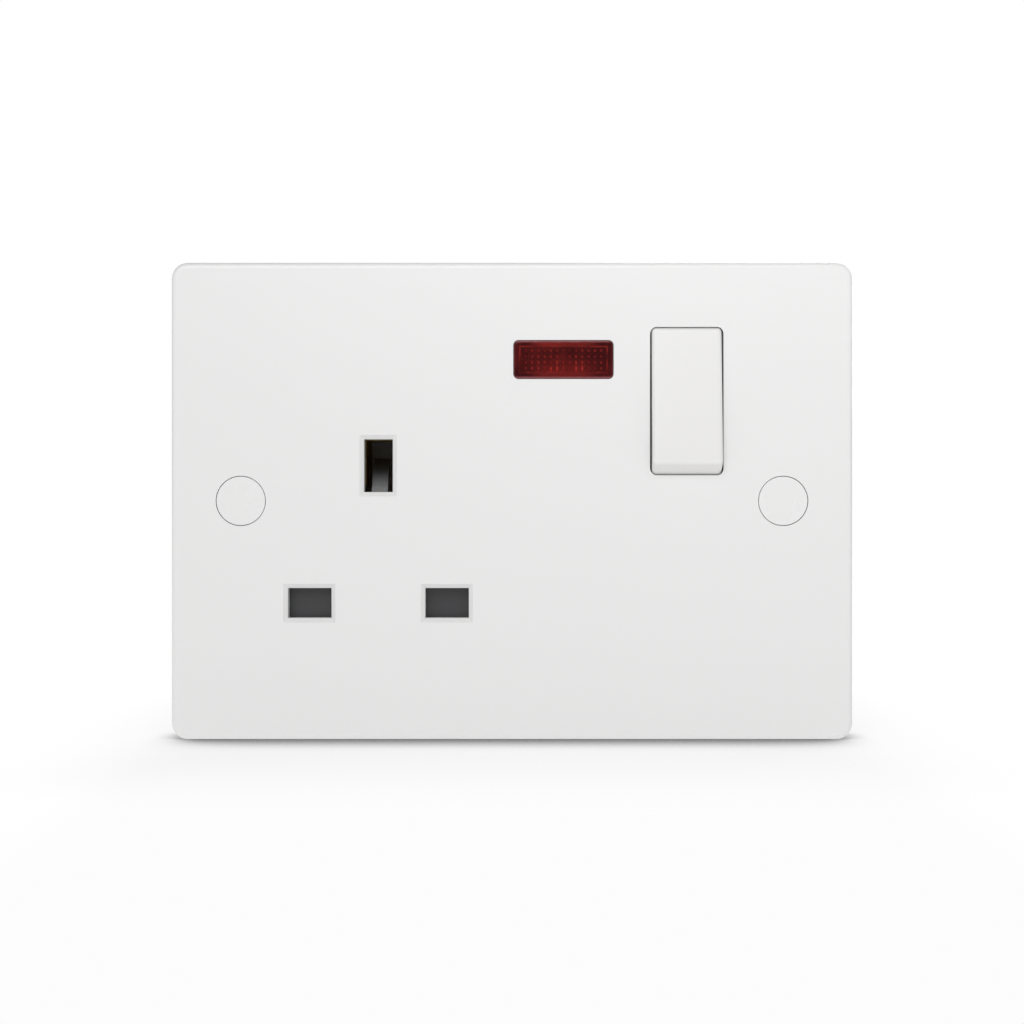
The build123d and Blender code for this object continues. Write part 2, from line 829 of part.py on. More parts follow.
# Rivet that joins the line receptacle to the load strap and the floor
with BuildPart() as line_rivet:
    line_rivet_seat = strap_front + leaf_thickness
    post([(line_x, lower_pin_z)], rivet_radius, floor_back, line_rivet_seat)
    post([(line_x, lower_pin_z)], rivet_head_radius, line_rivet_seat, line_rivet_seat + rivet_head_height)
    post([(line_x, lower_pin_z)], rivet_head_radius, floor_back - rivet_head_height, floor_back)
line_rivet.part.label = "line_rivet"
export_step(line_rivet.part, "parts/line_rivet.step")

# Shutter: a bar over the lower slots, with a ramp that the earth pin pushes
shutter_top = lower_pin_z + shutter_cover_top
shutter_bottom = shutter_top - shutter_height
shutter_back = shutter_front - shutter_thickness
shutter_middle = shutter_front - shutter_thickness / 2
with BuildPart() as shutter:
    span(shutter_left, shutter_right, shutter_bottom, shutter_top, shutter_back, shutter_front)
    fillet(shutter.edges().filter_by(Axis.Y), radius=shutter_corner)
    block(
        socket_x,
        (shutter_top + ramp_foot_z) / 2 - shutter_arm_lap,
        shutter_arm_width,
        ramp_foot_z - shutter_top - shutter_arm_gap,
        shutter_back,
        shutter_front,
    )
    with BuildSketch(side_on(socket_x)):
        with BuildLine():
            Polyline(
                (shutter_top + shutter_rib_start, shutter_front),
                (ramp_foot_z, shutter_front),
                (ramp_head_z, ramp_head_out),
                (ramp_head_z, ramp_tail_out),
                (ramp_head_z - ramp_tail_length, ramp_tail_out),
                (ramp_foot_z - ramp_heel, shutter_back),
                (shutter_top + shutter_rib_start, shutter_back),
                close=True,
            )
        make_face()
    extrude(amount=ramp_width / 2, both=True)
    with BuildSketch(Plane.XY.offset(shutter_bottom - peg_length)):
        with Locations((socket_x, -shutter_middle)):
            Circle(peg_radius)
    extrude(amount=peg_length)
shutter.part.label = "shutter"
export_step(shutter.part, "parts/shutter.step")

# Shutter spring
shutter_coil_radius = shutter_spring_radius - shutter_spring_wire / 2
shutter_coil_height = shutter_spring_length - shutter_spring_wire - 2 * spring_seat_gap
with BuildPart() as shutter_spring:
    with BuildLine() as shutter_coil:
        Helix(
            pitch=shutter_coil_height / shutter_spring_turns,
            height=shutter_coil_height,
            radius=shutter_coil_radius,
            center=(socket_x, -shutter_middle, seat_top + shutter_spring_wire / 2 + spring_seat_gap),
        )
    with BuildSketch(Plane(origin=shutter_coil.line @ 0, z_dir=shutter_coil.line % 0)):
        Circle(shutter_spring_wire / 2)
    sweep(path=shutter_coil.line)
shutter_spring.part.label = "shutter_spring"
export_step(shutter_spring.part, "parts/shutter_spring.step")

# Neon lens: flush red window with a rim flange and a grid of small prisms on its back
lens_front = plate_depth + lens_proud
lens_ceiling = lens_front - lens_skin
with BuildPart() as neon_lens:
    with BuildSketch(facing(face_back)):
        with Locations((lens_x, lens_z)):
            RectangleRounded(
                lens_width - 2 * lens_gap, lens_height - 2 * lens_gap, lens_corner - lens_gap
            )
    extrude(amount=lens_front - face_back)
    fillet(neon_lens.faces().sort_by(Axis.Y)[0].edges(), radius=lens_edge)
    with BuildSketch(facing(face_back)):
        with Locations((lens_x, lens_z)):
            RectangleRounded(lens_width + 2 * lens_flange, lens_height + 2 * lens_flange, lens_corner)
    extrude(amount=-lens_flange_thickness)
    with BuildSketch(facing(face_back - lens_flange_thickness)):
        with Locations((lens_x, lens_z)):
            RectangleRounded(lens_recess_width, lens_recess_height, lens_recess_corner)
    extrude(amount=lens_ceiling - face_back + lens_flange_thickness, mode=Mode.SUBTRACT)
    with BuildSketch(facing(lens_ceiling)) as prism_feet:
        with Locations((lens_x, lens_z)):
            with GridLocations(
                lens_recess_width / (prism_columns + 1),
                lens_recess_height / (prism_rows + 0.3),
                prism_columns,
                prism_rows,
            ):
                RegularPolygon(prism_base, 4, rotation=45)
    extrude(prism_feet.sketch, amount=prism_height, dir=(0, 1, 0), taper=prism_angle)
neon_lens.part.label = "neon_lens"
export_step(neon_lens.part, "parts/neon_lens.step")

# Neon lamp: a sealed glass tube lying across the light box
lamp_left = lens_x - lamp_length / 2
with BuildPart() as neon_lamp:
    with BuildSketch(Plane.YZ.offset(lamp_left)):
        with Locations((-lamp_out, lens_z)):
            Circle(lamp_radius)
    extrude(amount=lamp_length)
    fillet(neon_lamp.edges().filter_by(GeomType.CIRCLE), radius=lamp_round)
neon_lamp.part.label = "neon_lamp"
export_step(neon_lamp.part, "parts/neon_lamp.step")

# Series resistor
with BuildPart() as neon_resistor:
    with BuildSketch(Plane.XY.offset(resistor_bottom)):
        with Locations((resistor_x, -lamp_out)):
            Circle(resistor_radius)
    extrude(amount=resistor_top - resistor_bottom)
    fillet(neon_resistor.edges().filter_by(GeomType.CIRCLE), radius=resistor_round)
neon_resistor.part.label = "neon_resistor"
export_step(neon_resistor.part, "parts/neon_resistor.step")

# Leads: lamp to load strap, lamp to resistor, resistor to neutral strap
lead_routes = [
    (
        "lamp_load_lead",
        lead_radius,
        lead_bend,
        [
            (lamp_left, -lamp_out, lens_z + lead_pitch / 2),
            (load_drop_x, -lamp_out, lens_z + lead_pitch / 2),
            (load_drop_x, -strap_front, lens_z + lead_pitch / 2),
        ],
    ),
    (
        "lamp_resistor_lead",
        lead_radius,
        lead_bend,
        [
            (lamp_left, -lamp_out, lens_z - lead_pitch / 2),
            (resistor_x, -lamp_out, lens_z - lead_pitch / 2),
            (resistor_x, -lamp_out, resistor_top),
        ],
    ),
    (
        "neutral_lead",
        long_lead_radius,
        long_lead_bend,
        [
            (resistor_x, -lamp_out, resistor_bottom),
            (resistor_x, -lamp_out, resistor_bottom - lead_drop),
            (resistor_x, lead_depth, neutral_tab_z),
            (neutral_x, lead_depth, neutral_tab_z),
            (neutral_x, -strap_front, neutral_tab_z),
        ],
    ),
]
for lead_name, radius, bend, points in lead_routes:
    with BuildPart() as lead:
        with BuildLine() as route:
            FilletPolyline(*points, radius=bend)
        with BuildSketch(Plane(origin=route.line @ 0, z_dir=route.line % 0)):
            Circle(radius)
        sweep(path=route.line)
    lead.part.label = lead_name
    export_step(lead.part, "parts/" + lead_name + ".step")

# Rear moulding: shelled tray with towers for the receptacles, wells for the terminals and posts
base_x = (base_left + base_right) / 2
base_z = (base_bottom + base_top) / 2
chamber_left = rocker_x - cheek_inner - cheek_thickness - cheek_gap - partition_wall
chamber_bottom = rocker_z - drum_radius - chamber_gap
earth_pocket_z = web_z + web_thickness - earth_pocket_height / 2 + 2 * notch_gap
strap_notch_top = strap_front + notch_gap
with BuildPart() as rear_moulding:
    with BuildSketch(facing(floor_back)):
        with Locations((base_x, base_z)):
            RectangleRounded(base_right - base_left, base_top - base_bottom, base_corner)
    extrude(amount=base_front - floor_back)
    fillet(rear_moulding.faces().sort_by(Axis.Y)[-1].edges(), radius=base_edge)
    with BuildSketch(facing(floor_front)):
        with Locations((base_x, base_z)):
            RectangleRounded(
                base_right - base_left - 2 * base_wall,
                base_top - base_bottom - 2 * base_wall,
                base_corner - base_wall,
            )
    extrude(amount=base_front - floor_front, mode=Mode.SUBTRACT)

    # Towers around the receptacles, and the closed box behind the earth pin
    for tower_x in (neutral_x, line_x):
        block(
            tower_x,
            lower_pin_z,
            lower_pocket_width + 2 * tower_wall,
            lower_pocket_height + 2 * tower_wall,
            floor_front,
            tower_front,
        )
        block(
            tower_x,
            lower_pin_z,
            lower_pocket_width,
            lower_pocket_height,
            floor_front,
            tower_front,
            Mode.SUBTRACT,
        )
    block(
        socket_x,
        earth_pocket_z,
        earth_pocket_width + 2 * tower_wall,
        earth_pocket_height + 2 * tower_wall,
        earth_pocket_back - floor_thickness,
        tower_front,
    )
    block(
        socket_x,
        earth_pocket_z,
        earth_pocket_width,
        earth_pocket_height,
        earth_pocket_back,
        tower_front,
        Mode.SUBTRACT,
    )

    # Switch chamber walls, lamp saddles and resistor clip
    span(
        chamber_left,
        chamber_left + partition_wall,
        chamber_bottom,
        base_top - base_wall,
        floor_front,
        base_front,
    )
    span(
        chamber_left,
        base_right - base_wall,
        chamber_bottom,
        chamber_bottom + partition_wall,
        floor_front,
        base_front,
    )
    for saddle_side in (-1, 1):
        block(
            lens_x + saddle_side * saddle_spacing / 2,
            lens_z,
            saddle_thickness,
            2 * saddle_half_height,
            floor_front,
            lamp_out,
        )
    with BuildSketch(Plane.YZ.offset(lens_x)) as lamp_notch:
        with Locations((-lamp_out, lens_z)):
            Circle(lamp_radius + saddle_gap)
    extrude(lamp_notch.sketch, amount=saddle_spacing, both=True, mode=Mode.SUBTRACT)
    clip_z = (resistor_top + resistor_bottom) / 2
    block(
        resistor_x, clip_z, 2 * (resistor_radius + clip_wall), saddle_thickness, floor_front, lamp_out
    )
    with BuildSketch(Plane.XY.offset(clip_z)) as resistor_notch:
        with Locations((resistor_x, -lamp_out)):
            Circle(resistor_radius + saddle_gap)
    extrude(resistor_notch.sketch, amount=saddle_thickness, both=True, mode=Mode.SUBTRACT)

    # Stiffening ribs on the back, and pillars and collars for the assembly screws
    for rib_x in (back_rib_x - back_rib_pitch, back_rib_x, back_rib_x + back_rib_pitch):
        span(
            rib_x - back_rib_thickness / 2,
            rib_x + back_rib_thickness / 2,
            base_bottom + back_rib_inset,
            base_top - back_rib_inset,
            floor_back - back_rib_height,
            floor_back,
        )
    post(assembly_points, pillar_radius, floor_back - collar_height, base_front)
    post(
        assembly_points,
        assembly_screw_radius + assembly_screw_gap,
        floor_back,
        base_front,
        Mode.SUBTRACT,
    )
    post(
        assembly_points,
        assembly_head_radius + assembly_screw_gap,
        floor_back - collar_height,
        floor_back + assembly_head_depth,
        Mode.SUBTRACT,
    )

    # Terminal wells, open at the end where the conductor enters
    for terminal_name, terminal_x, terminal_z, rivet_seat in terminals:
        entry_way = 1 if terminal_name == "earth_terminal" else -1
        well_width = terminal_width + 2 * well_gap
        well_shut = terminal_z - entry_way * (terminal_length / 2 + well_gap)
        well_open = terminal_z + entry_way * (terminal_length / 2 + well_reach)
        block(
            terminal_x,
            (well_shut + well_open) / 2 - entry_way * well_wall / 2,
            well_width + 2 * well_wall,
            abs(well_open - well_shut) + well_wall,
            floor_back - well_depth,
            floor_back,
        )
        block(
            terminal_x,
            (well_shut + well_open) / 2,
            well_width,
            abs(well_open - well_shut),
            floor_back - well_depth,
            floor_back,
            Mode.SUBTRACT,
        )

    # Ways through the walls and the floor
    rivet_points = [(x, z) for name, x, z, seat in terminals] + [(line_x, lower_pin_z)]
    post(rivet_points, rivet_radius + rivet_gap, floor_back, floor_front, Mode.SUBTRACT)
    block(
        socket_x,
        earth_pocket_z - earth_pocket_height / 2 - tower_wall / 2,
        ramp_width + 2 * ramp_way_gap,
        2 * tower_wall,
        ramp_tail_out - ramp_way_gap,
        tower_front,
        Mode.SUBTRACT,
    )
    block(
        socket_x,
        earth_pocket_z + earth_pocket_height / 2 + tower_wall / 2,
        web_width + 2 * notch_gap,
        2 * tower_wall,
        floor_front,
        strap_notch_top,
        Mode.SUBTRACT,
    )
    block(
        neutral_x,
        lower_pin_z + lower_pocket_height / 2 + tower_wall / 2,
        strap_width + 2 * notch_gap,
        tower_wall,
        floor_front,
        strap_notch_top,
        Mode.SUBTRACT,
    )
    block(
        line_x + lower_pocket_width / 2 + tower_wall / 2,
        lower_pin_z,
        tower_wall,
        strap_width + 2 * notch_gap,
        floor_front,
        strap_notch_top,
        Mode.SUBTRACT,
    )
    block(
        chamber_left + partition_wall / 2,
        fixed_tip_z,
        partition_wall,
        strap_width + 2 * notch_gap,
        floor_front,
        strap_notch_top,
        Mode.SUBTRACT,
    )
    block(
        rocker_x,
        chamber_bottom + partition_wall / 2,
        strap_width + 2 * notch_gap,
        partition_wall,
        floor_front,
        strap_notch_top,
        Mode.SUBTRACT,
    )
    for saddle_side in (-1, 1):
        block(
            lens_x + saddle_side * saddle_spacing / 2,
            fixed_tip_z,
            saddle_thickness,
            strap_width + 2 * notch_gap,
            floor_front,
            strap_notch_top,
            Mode.SUBTRACT,
        )
rear_moulding.part.label = "rear_moulding"
export_step(rear_moulding.part, "parts/rear_moulding.step")

# Assembly screws, alike, in one group
with BuildPart() as assembly_screws:
    head_front = floor_back + assembly_head_depth
    post(assembly_points, assembly_screw_radius, head_front, assembly_screw_end)
    post(assembly_points, assembly_head_radius, head_front - assembly_head_height, head_front)
    with BuildSketch(facing(head_front - assembly_head_height)) as cross_slots:
        with Locations(*assembly_points):
            Rectangle(cross_slot_length, cross_slot_width)
            Rectangle(cross_slot_width, cross_slot_length)
    extrude(cross_slots.sketch, amount=cross_slot_depth, dir=(0, -1, 0), mode=Mode.SUBTRACT)
assembly_screws.part.label = "assembly_screws"
export_step(assembly_screws.part, "parts/assembly_screws.step")
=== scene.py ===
import json
import math

import bmesh
import bpy
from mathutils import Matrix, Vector


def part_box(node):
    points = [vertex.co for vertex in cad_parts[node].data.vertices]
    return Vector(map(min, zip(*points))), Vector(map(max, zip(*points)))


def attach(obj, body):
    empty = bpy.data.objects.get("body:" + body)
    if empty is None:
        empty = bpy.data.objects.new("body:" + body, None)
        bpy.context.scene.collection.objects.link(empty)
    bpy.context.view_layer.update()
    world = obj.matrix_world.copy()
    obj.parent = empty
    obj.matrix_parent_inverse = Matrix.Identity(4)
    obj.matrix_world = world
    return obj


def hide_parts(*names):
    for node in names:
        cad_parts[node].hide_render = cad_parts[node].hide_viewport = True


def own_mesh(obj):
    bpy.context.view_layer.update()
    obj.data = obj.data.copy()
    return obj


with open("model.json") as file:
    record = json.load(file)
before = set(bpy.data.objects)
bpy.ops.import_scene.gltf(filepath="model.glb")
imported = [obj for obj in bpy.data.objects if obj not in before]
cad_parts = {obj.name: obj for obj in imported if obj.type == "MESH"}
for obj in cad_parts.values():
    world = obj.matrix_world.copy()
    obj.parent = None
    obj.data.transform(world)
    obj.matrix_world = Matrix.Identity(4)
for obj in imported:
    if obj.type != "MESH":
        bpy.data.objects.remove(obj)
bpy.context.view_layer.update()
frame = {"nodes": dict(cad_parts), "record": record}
nodes = frame["nodes"]

MM = 0.001
PHOTO_PIXELS = 1024
PIXELS_PER_MM = 6.2
PLATE_MIDDLE_ROW = 500.9
FLOOR_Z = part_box("front_plate")[0][2]
FACE_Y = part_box("front_plate")[0][1]


# Shader helpers
def add_node(tree, kind, **values):
    """A shader node with some of its named sockets or settings filled in."""
    made = tree.nodes.new(kind)
    for name, value in values.items():
        socket = made.inputs.get(name.replace("_", " "))
        if socket is not None:
            socket.default_value = value
        else:
            setattr(made, name, value)
    return made


def new_group(name, inputs, outputs):
    """An empty shader group with named number or colour sockets, and its two ends."""
    group = bpy.data.node_groups.new(name, "ShaderNodeTree")
    for socket_name, kind, value in inputs:
        socket = group.interface.new_socket(socket_name, in_out="INPUT", socket_type=kind)
        socket.default_value = value
    for socket_name, kind in outputs:
        group.interface.new_socket(socket_name, in_out="OUTPUT", socket_type=kind)
    start = group.nodes.new("NodeGroupInput")
    end = group.nodes.new("NodeGroupOutput")
    return group, start, end


def math_node(tree, operation, first, second=None, third=None):
    """One sum on two or three numbers or sockets."""
    made = add_node(tree, "ShaderNodeMath", operation=operation)
    for place, value in enumerate((first, second, third)):
        if value is None:
            continue
        if isinstance(value, (int, float)):
            made.inputs[place].default_value = value
        else:
            tree.links.new(value, made.inputs[place])
    return made.outputs[0]


def step_node(tree, value, low, high, low_result=0.0, high_result=1.0):
    """A smooth step from one value to another."""
    made = add_node(
        tree,
        "ShaderNodeMapRange",
        interpolation_type="SMOOTHSTEP",
        From_Min=low,
        From_Max=high,
        To_Min=low_result,
        To_Max=high_result,
    )
    tree.links.new(value, made.inputs["Value"])
    return made.outputs["Result"]


def colour_mix(tree, share, first, second):
    """Two colours mixed by a share."""
    made = add_node(tree, "ShaderNodeMix", data_type="RGBA")
    tree.links.new(share, made.inputs[0])
    for place, value in ((6, first), (7, second)):
        if isinstance(value, tuple):
            made.inputs[place].default_value = value
        else:
            tree.links.new(value, made.inputs[place])
    return made.outputs[2]


def position_parts(tree):
    """The object-space X, Y and Z of a point, in metres."""
    place = add_node(tree, "ShaderNodeTexCoord")
    parts = add_node(tree, "ShaderNodeSeparateXYZ")
    tree.links.new(place.outputs["Object"], parts.inputs[0])
    return parts.outputs["X"], parts.outputs["Y"], parts.outputs["Z"]


def product(tree, *factors):
    """Several numbers or sockets multiplied together."""
    total = factors[0]
    for factor in factors[1:]:
        total = math_node(tree, "MULTIPLY", total, factor)
    return total


def noise_node(tree, scale, detail, roughness, place=None):
    """A noise texture, in object space unless it is given another place."""
    made = add_node(tree, "ShaderNodeTexNoise", Scale=scale, Detail=detail, Roughness=roughness)
    if place is None:
        place = add_node(tree, "ShaderNodeTexCoord").outputs["Object"]
    tree.links.new(place, made.inputs["Vector"])
    return made


def moulded_surface_group():
    """Moulded plastic: a soft swirl of tone, uneven gloss and fine orange-peel height."""
    group, start, end = new_group(
        "moulded surface",
        [
            ("Colour", "NodeSocketColor", (0.8, 0.8, 0.8, 1)),
            ("Tone Change", "NodeSocketFloat", 0.02),
            ("Gloss", "NodeSocketFloat", 0.3),
            ("Gloss Change", "NodeSocketFloat", 0.05),
            ("Peel Scale", "NodeSocketFloat", 900.0),
        ],
        [("Colour", "NodeSocketColor"), ("Roughness", "NodeSocketFloat"), ("Height", "NodeSocketFloat")],
    )
    swirl = noise_node(group, scale=28.0, detail=3.0, roughness=0.55)
    smear = noise_node(group, scale=140.0, detail=4.0, roughness=0.6)
    peel = noise_node(group, scale=1.0, detail=2.0, roughness=0.5)
    group.links.new(start.outputs["Peel Scale"], peel.inputs["Scale"])
    centred = math_node(group, "SUBTRACT", swirl.outputs["Fac"], 0.5)
    change = math_node(group, "MULTIPLY", centred, start.outputs["Tone Change"])
    tinted = add_node(group, "ShaderNodeVectorMath", operation="SCALE")
    group.links.new(start.outputs["Colour"], tinted.inputs[0])
    group.links.new(math_node(group, "ADD", change, 1.0), tinted.inputs["Scale"])
    group.links.new(tinted.outputs[0], end.inputs["Colour"])
    uneven = math_node(group, "MULTIPLY", smear.outputs["Fac"], start.outputs["Gloss Change"])
    gloss = math_node(group, "ADD", uneven, start.outputs["Gloss"])
    group.links.new(gloss, end.inputs["Roughness"])
    group.links.new(peel.outputs["Fac"], end.inputs["Height"])
    return group


def metal_surface_group():
    """Rolled or plated metal: streaks along one way and dull patches."""
    group, start, end = new_group(
        "metal surface",
        [
            ("Bright", "NodeSocketColor", (0.8, 0.6, 0.3, 1)),
            ("Dull", "NodeSocketColor", (0.5, 0.35, 0.15, 1)),
            ("Dull Share", "NodeSocketFloat", 0.4),
            ("Polish", "NodeSocketFloat", 0.25),
            ("Streak Stretch", "NodeSocketVector", (1.0, 1.0, 12.0)),
        ],
        [("Colour", "NodeSocketColor"), ("Roughness", "NodeSocketFloat"), ("Height", "NodeSocketFloat")],
    )
    place = add_node(group, "ShaderNodeTexCoord")
    stretch = add_node(group, "ShaderNodeVectorMath", operation="MULTIPLY")
    group.links.new(place.outputs["Object"], stretch.inputs[0])
    group.links.new(start.outputs["Streak Stretch"], stretch.inputs[1])
    streak = noise_node(group, scale=600.0, detail=4.0, roughness=0.65, place=stretch.outputs[0])
    patch = noise_node(group, scale=260.0, detail=5.0, roughness=0.6)
    edge = add_node(group, "ShaderNodeMapRange", From_Min=0.35, From_Max=0.7)
    group.links.new(patch.outputs["Fac"], edge.inputs["Value"])
    share = math_node(group, "MULTIPLY", edge.outputs["Result"], start.outputs["Dull Share"])
    blended = colour_mix(group, share, start.outputs["Bright"], start.outputs["Dull"])
    group.links.new(blended, end.inputs["Colour"])
    streak_roughness = 0.22
    rougher = math_node(
        group, "MULTIPLY_ADD", streak.outputs["Fac"], streak_roughness, start.outputs["Polish"]
    )
    group.links.new(rougher, end.inputs["Roughness"])
    group.links.new(streak.outputs["Fac"], end.inputs["Height"])
    return group


def shutter_surface_group():
    """Dark shutter plastic with painted light on the ramp, palest low down and fading toward its top with
    a patchy grain, and painted shade on the web over the ramp.
    """
    group, start, end = new_group(
        "shutter surface",
        [
            ("Dark", "NodeSocketColor", (0.05, 0.05, 0.05, 1)),
            ("Ramp Light", "NodeSocketColor", (0.3, 0.3, 0.3, 1)),
            ("Ramp Light Start", "NodeSocketFloat", 0.0),
            ("Ramp Light End", "NodeSocketFloat", 0.005),
        ],
        [("Colour", "NodeSocketColor"), ("Roughness", "NodeSocketFloat"), ("Height", "NodeSocketFloat")],
    )
    _, _, height = position_parts(group)
    # Painted shade: the web over the ramp is darker and brownish
    web_shade_colour = (0.012, 0.007, 0.003, 1)
    above = step_node(group, math_node(group, "DIVIDE", height, start.outputs["Ramp Light End"]), 0.7, 1.2)
    plain = colour_mix(group, above, start.outputs["Dark"], web_shade_colour)
    # Painted light on the ramp: palest low down, fading toward the ramp's top, broken up by a patchy grain
    along = math_node(
        group,
        "DIVIDE",
        math_node(group, "SUBTRACT", height, start.outputs["Ramp Light Start"]),
        math_node(group, "SUBTRACT", start.outputs["Ramp Light End"], start.outputs["Ramp Light Start"]),
    )
    fading = step_node(group, along, 0.0, 1.0, 1.0, 0.0)
    rising = step_node(group, along, -1.2, -0.3)
    grain = noise_node(group, scale=900.0, detail=3.0, roughness=0.6).outputs["Fac"]
    ramp_light_share = product(group, fading, rising, step_node(group, grain, 0.2, 0.8, 0.8, 1.1))
    coloured = colour_mix(group, ramp_light_share, plain, start.outputs["Ramp Light"])
    group.links.new(coloured, end.inputs["Colour"])
    least_roughness, roughness_change = 0.34, 0.15
    rough = math_node(group, "MULTIPLY_ADD", grain, roughness_change, least_roughness)
    group.links.new(rough, end.inputs["Roughness"])
    group.links.new(grain, end.inputs["Height"])
    return group


def cell_part(tree, distance, pitch, shift):
    """Where a point lies across its own prism, from -0.5 to 0.5. The shift keeps the count positive."""
    cell = math_node(tree, "ADD", math_node(tree, "DIVIDE", distance, pitch), shift)
    return math_node(tree, "SUBTRACT", math_node(tree, "FRACT", cell), 0.5)


def lens_surface_group():
    """Red lens with painted light: a painted reflection along the rim, a painted highlight round the light
    box, a painted glint on each prism and painted washes and streaks of light.
    """
    group, start, end = new_group(
        "lens surface",
        [
            ("Deep", "NodeSocketColor", (0.3, 0.004, 0.008, 1)),
            ("Bright", "NodeSocketColor", (0.9, 0.08, 0.06, 1)),
            ("Rim", "NodeSocketColor", (0.6, 0.15, 0.16, 1)),
            ("Middle X", "NodeSocketFloat", 0.0),
            ("Middle Z", "NodeSocketFloat", 0.0),
            ("Half Width", "NodeSocketFloat", 0.008),
            ("Half Height", "NodeSocketFloat", 0.003),
            ("Rim Width", "NodeSocketFloat", 0.0003),
            ("Box Inset", "NodeSocketFloat", 0.001),
            ("Column Pitch", "NodeSocketFloat", 0.001),
            ("Row Pitch", "NodeSocketFloat", 0.001),
        ],
        [("Colour", "NodeSocketColor"), ("Roughness", "NodeSocketFloat")],
    )
    half_width, half_height = start.outputs["Half Width"], start.outputs["Half Height"]
    rim_width = start.outputs["Rim Width"]
    x, _, z = position_parts(group)
    across = math_node(group, "SUBTRACT", x, start.outputs["Middle X"])
    up = math_node(group, "SUBTRACT", z, start.outputs["Middle Z"])
    far_across = math_node(group, "ABSOLUTE", across)
    from_side = math_node(group, "SUBTRACT", half_width, far_across)
    from_top = math_node(group, "SUBTRACT", half_height, math_node(group, "ABSOLUTE", up))
    # The rim is palest along its top and bottom, where the room shows in it
    long_rim = step_node(group, math_node(group, "DIVIDE", from_top, rim_width), 0.9, 1.7, 1.0, 0.0)
    short_rim = step_node(group, math_node(group, "DIVIDE", from_side, rim_width), 0.4, 1.1, 0.45, 0.0)
    rim = math_node(group, "MAXIMUM", long_rim, short_rim)
    inside = math_node(group, "MINIMUM", from_side, from_top)
    # A painted highlight along the edge of the light box
    from_box = math_node(group, "SUBTRACT", inside, start.outputs["Box Inset"])
    off_line = math_node(group, "DIVIDE", math_node(group, "ABSOLUTE", from_box), rim_width)
    box_line = step_node(group, off_line, 0.2, 0.6, 0.5, 0.0)
    within = step_node(group, from_box, 0.0, 0.2 * MM)
    # A painted glint on each prism
    column_part = cell_part(group, across, start.outputs["Column Pitch"], 20.5)
    row_part = cell_part(group, up, start.outputs["Row Pitch"], 20.0)
    reach_squared = math_node(
        group,
        "ADD",
        math_node(group, "MULTIPLY", column_part, column_part),
        math_node(group, "MULTIPLY", row_part, row_part),
    )
    point = step_node(group, math_node(group, "SQRT", reach_squared), 0.06, 0.30, 1.0, 0.0)
    uneven = noise_node(group, scale=420.0, detail=2.0, roughness=0.5)
    lit = step_node(group, uneven.outputs["Fac"], 0.38, 0.60, 0.15, 1.0)
    # The lower middle, in front of the lamp, passes the most light
    height_share = math_node(group, "DIVIDE", up, half_height)
    width_share = math_node(group, "DIVIDE", far_across, half_width)
    low_part = step_node(group, height_share, -0.65, 0.25, 1.0, 0.0)
    mid_part = step_node(group, width_share, 0.35, 0.80, 1.0, 0.0)
    lower_middle = math_node(group, "MULTIPLY", low_part, mid_part)
    lamp_share = math_node(group, "MULTIPLY_ADD", lower_middle, 0.50, 0.50)
    points = product(group, point, within, lit, lamp_share)
    # Painted light washed over the lens, strongest in the lower middle and in a band over the light box
    wash = noise_node(group, scale=190.0, detail=2.0, roughness=0.5)
    wash_share = step_node(group, wash.outputs["Fac"], 0.42, 0.68, 0.0, 0.16)
    wash_share = math_node(group, "MULTIPLY_ADD", lower_middle, 0.24, wash_share)
    band = math_node(group, "MULTIPLY", math_node(group, "SUBTRACT", 1.0, within), mid_part)
    high_part = step_node(group, height_share, 0.55, 0.75, 0.10, 0.34)
    wash_share = math_node(group, "MULTIPLY_ADD", band, high_part, wash_share)
    # Below the middle the light runs down the prisms in streaks
    streak = step_node(group, math_node(group, "ABSOLUTE", column_part), 0.06, 0.24, 1.0, 0.0)
    streak_strength = 0.62
    streaks = product(group, streak, lower_middle, within, lit, streak_strength)
    lines = math_node(group, "MULTIPLY", box_line, lit)
    glow = math_node(group, "MAXIMUM", points, streaks)
    glow = math_node(group, "MAXIMUM", math_node(group, "MAXIMUM", glow, lines), wash_share)
    coloured = colour_mix(group, glow, start.outputs["Deep"], start.outputs["Bright"])
    group.links.new(colour_mix(group, rim, coloured, start.outputs["Rim"]), end.inputs["Colour"])
    least_roughness, roughness_change = 0.04, 0.08
    rough = math_node(group, "MULTIPLY_ADD", uneven.outputs["Fac"], roughness_change, least_roughness)
    group.links.new(rough, end.inputs["Roughness"])
    return group


MOULDED = moulded_surface_group()
SHUTTER = shutter_surface_group()
LENS = lens_surface_group()
METAL = metal_surface_group()


def principled_material(name, shader_values, group, group_values):
    """A Principled material whose colour comes from a surface group, with its two main nodes."""
    material = bpy.data.materials.new(name)
    material.use_nodes = True
    tree = material.node_tree
    tree.nodes.clear()
    out = add_node(tree, "ShaderNodeOutputMaterial")
    shader = add_node(tree, "ShaderNodeBsdfPrincipled")
    for socket_name, value in shader_values.items():
        shader.inputs[socket_name].default_value = value
    surface = add_node(tree, "ShaderNodeGroup", node_tree=group)
    for socket_name, value in group_values.items():
        surface.inputs[socket_name].default_value = value
    tree.links.new(surface.outputs["Colour"], shader.inputs["Base Color"])
    tree.links.new(shader.outputs["BSDF"], out.inputs["Surface"])
    return material, shader, surface


def surface_material(name, group, group_values, bump_strength, bump_depth, shader_values):
    """A material whose colour, roughness and bump all come from one surface group."""
    material, shader, surface = principled_material(name, shader_values, group, group_values)
    tree = material.node_tree
    bump = add_node(tree, "ShaderNodeBump", Strength=bump_strength, Distance=bump_depth)
    tree.links.new(surface.outputs["Roughness"], shader.inputs["Roughness"])
    tree.links.new(surface.outputs["Height"], bump.inputs["Height"])
    tree.links.new(bump.outputs["Normal"], shader.inputs["Normal"])
    return material


